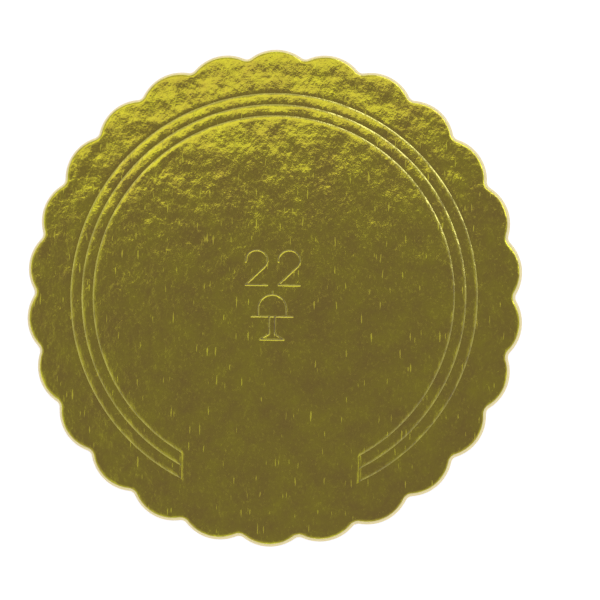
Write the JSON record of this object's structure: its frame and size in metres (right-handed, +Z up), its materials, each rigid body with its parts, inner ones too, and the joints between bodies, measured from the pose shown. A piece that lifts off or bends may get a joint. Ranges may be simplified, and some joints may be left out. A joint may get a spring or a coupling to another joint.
{
  "type": "cake board",
  "caption": "Round cake board with a scalloped edge: one foil-faced sheet of solid card with a pressed crease ring, a stamped size number and a small cake stand sign.",
  "frame": {"origin": "centre of the underside, on the table", "axes": "+Z up out of the foil face, +Y towards the top of the pressed number, +X towards its right"},
  "size_m": [0.2186, 0.22, 0.0024],
  "materials": {
    "foil_faced_card": "satin"
  },
  "bodies": {
    "root": {"cake_board": "foil_faced_card"}
  },
  "joints": []
}
